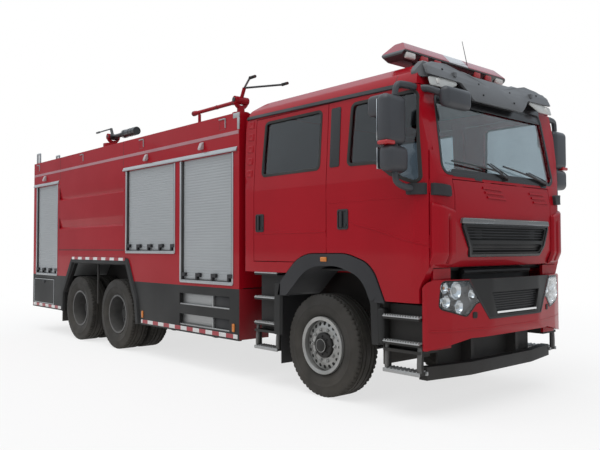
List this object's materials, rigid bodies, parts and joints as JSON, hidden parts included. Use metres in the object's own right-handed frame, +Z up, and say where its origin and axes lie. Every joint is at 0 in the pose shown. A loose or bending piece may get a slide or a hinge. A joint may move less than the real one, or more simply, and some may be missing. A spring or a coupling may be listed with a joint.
{
  "type": "fire truck",
  "caption": "Red fire truck with a crew cab, roller-shutter equipment body, swivelling foam and powder monitors on the roof deck and a rear access ladder.",
  "frame": {"origin": "on the ground under the middle of the overall box", "axes": "+X forward, +Y to the truck's left, +Z up"},
  "size_m": [9.82, 3.23, 4],
  "materials": {
    "red_paint": "gloss",
    "grey_paint": "satin",
    "black_plastic": "textured",
    "chassis_black": "satin",
    "alloy": "satin",
    "wheel_silver": "satin",
    "tyre": "matte",
    "tinted_glass": "clear",
    "lamp_glass": "clear",
    "trim": "matte",
    "engine": "painted",
    "gun_black": "satin"
  },
  "bodies": {
    "truck": {"bumper": "red_paint", "cab_shell": "red_paint", "body_sides": "red_paint", "body_ends": "red_paint", "light_bar": "red_paint", "monitor_bases": "red_paint", "body_skirts": "grey_paint", "sun_visor": "grey_paint", "bumper_centre": "grey_paint", "mudguards": "black_plastic", "front_mirror": "black_plastic", "wipers": "black_plastic", "cab_steps": "black_plastic", "chassis_frame": "chassis_black", "front_axle": "chassis_black", "rear_axles": "chassis_black", "suspension": "chassis_black", "underrun_beams": "chassis_black", "tow_jaw": "chassis_black", "shutters": "alloy", "body_frame": "alloy", "rear_ladder": "alloy", "side_tanks": "alloy", "cab_glass": "tinted_glass", "lamps": "lamp_glass", "cab_interior": "trim", "driveline": "engine"},
    "service_flap": {"front_flap": "red_paint", "grille": "grey_paint"},
    "front_door_right": {"door_front_right": "red_paint", "mirror_right": "black_plastic", "glass_front_right": "tinted_glass"},
    "front_door_left": {"door_front_left": "red_paint", "mirror_left": "black_plastic", "glass_front_left": "tinted_glass"},
    "rear_door_right": {"door_rear_right": "red_paint", "glass_rear_right": "tinted_glass"},
    "rear_door_left": {"door_rear_left": "red_paint", "glass_rear_left": "tinted_glass"},
    "monitor_swivel": {"monitor_head": "red_paint"},
    "monitor_pipe": {"monitor_barrel": "red_paint"},
    "powder_swivel": {"gun_head": "red_paint"},
    "locker_door_right": {"locker_right": "grey_paint"},
    "locker_door_left": {"locker_left": "grey_paint"},
    "steer_right": {"knuckle_right": "chassis_black"},
    "steer_left": {"knuckle_left": "chassis_black"},
    "wheel_front_right": {"rim_front_right": "wheel_silver", "tyre_front_right": "tyre"},
    "wheel_front_left": {"rim_front_left": "wheel_silver", "tyre_front_left": "tyre"},
    "wheel_mid_right": {"rim_mid_right": "wheel_silver", "tyre_mid_right": "tyre"},
    "wheel_mid_left": {"rim_mid_left": "wheel_silver", "tyre_mid_left": "tyre"},
    "wheel_rear_right": {"rim_rear_right": "wheel_silver", "tyre_rear_right": "tyre"},
    "wheel_rear_left": {"rim_rear_left": "wheel_silver", "tyre_rear_left": "tyre"},
    "powder_pipe": {"gun_barrel": "gun_black"}
  },
  "joints": [
    {"name": "steering_right", "type": "hinge", "parent": "truck", "child": "steer_right", "pos_m": [3.33, -0.845, 0.54], "axis": [0, 0, 1], "range_deg": [-37, 37]},
    {"name": "steering_left", "type": "hinge", "parent": "truck", "child": "steer_left", "pos_m": [3.33, 0.845, 0.54], "axis": [0, 0, 1], "range_deg": [-37, 37]},
    {"name": "wheel_front_right_spin", "type": "hinge", "parent": "steer_right", "child": "wheel_front_right", "pos_m": [3.33, -1.03, 0.54], "axis": [0, 1, 0], "continuous": true},
    {"name": "wheel_front_left_spin", "type": "hinge", "parent": "steer_left", "child": "wheel_front_left", "pos_m": [3.33, 1.03, 0.54], "axis": [0, 1, 0], "continuous": true},
    {"name": "wheel_mid_right_spin", "type": "hinge", "parent": "truck", "child": "wheel_mid_right", "pos_m": [-1.27, -0.917, 0.54], "axis": [0, 1, 0], "continuous": true},
    {"name": "wheel_mid_left_spin", "type": "hinge", "parent": "truck", "child": "wheel_mid_left", "pos_m": [-1.27, 0.917, 0.54], "axis": [0, 1, 0], "continuous": true},
    {"name": "wheel_rear_right_spin", "type": "hinge", "parent": "truck", "child": "wheel_rear_right", "pos_m": [-2.67, -0.917, 0.54], "axis": [0, 1, 0], "continuous": true},
    {"name": "wheel_rear_left_spin", "type": "hinge", "parent": "truck", "child": "wheel_rear_left", "pos_m": [-2.67, 0.917, 0.54], "axis": [0, 1, 0], "continuous": true},
    {"name": "front_door_right_hinge", "type": "hinge", "parent": "truck", "child": "front_door_right", "pos_m": [4.734, -1.1581, 1.9], "axis": [0, 0, 1], "range_deg": [0, 70]},
    {"name": "rear_door_right_hinge", "type": "hinge", "parent": "truck", "child": "rear_door_right", "pos_m": [3.47, -1.2363, 1.9], "axis": [0, 0, 1], "range_deg": [0, 70]},
    {"name": "front_door_left_hinge", "type": "hinge", "parent": "truck", "child": "front_door_left", "pos_m": [4.734, 1.1581, 1.9], "axis": [0, 0, -1], "range_deg": [0, 70]},
    {"name": "rear_door_left_hinge", "type": "hinge", "parent": "truck", "child": "rear_door_left", "pos_m": [3.47, 1.2363, 1.9], "axis": [0, 0, -1], "range_deg": [0, 70]},
    {"name": "service_flap_hinge", "type": "hinge", "parent": "truck", "child": "service_flap", "pos_m": [4.77647, 0, 2.199], "axis": [0, -1, 0], "range_deg": [0, 75]},
    {"name": "monitor_swivel_turn", "type": "hinge", "parent": "truck", "child": "monitor_swivel", "pos_m": [0.31, 0, 3.55], "axis": [0, 0, 1], "range_deg": [-170, 170]},
    {"name": "monitor_elevation", "type": "hinge", "parent": "monitor_swivel", "child": "monitor_pipe", "pos_m": [0.31, 0, 3.8], "axis": [0, 1, 0], "range_deg": [0, 60]},
    {"name": "powder_swivel_turn", "type": "hinge", "parent": "truck", "child": "powder_swivel", "pos_m": [-3.97, 0, 3.58], "axis": [0, 0, 1], "range_deg": [-170, 170]},
    {"name": "powder_elevation", "type": "hinge", "parent": "powder_swivel", "child": "powder_pipe", "pos_m": [-3.97, 0, 3.78], "axis": [0, -1, 0], "range_deg": [-15, 45]},
    {"name": "locker_door_right_hinge", "type": "hinge", "parent": "truck", "child": "locker_door_right", "pos_m": [-4.23, -1.2463, 0.524], "axis": [1, 0, 0], "range_deg": [0, 90]},
    {"name": "locker_door_left_hinge", "type": "hinge", "parent": "truck", "child": "locker_door_left", "pos_m": [-4.23, 1.2463, 0.524], "axis": [-1, 0, 0], "range_deg": [0, 90]}
  ],
  "couplings": [
    {"joint": "steering_left", "follows": "steering_right", "ratio": 1}
  ]
}
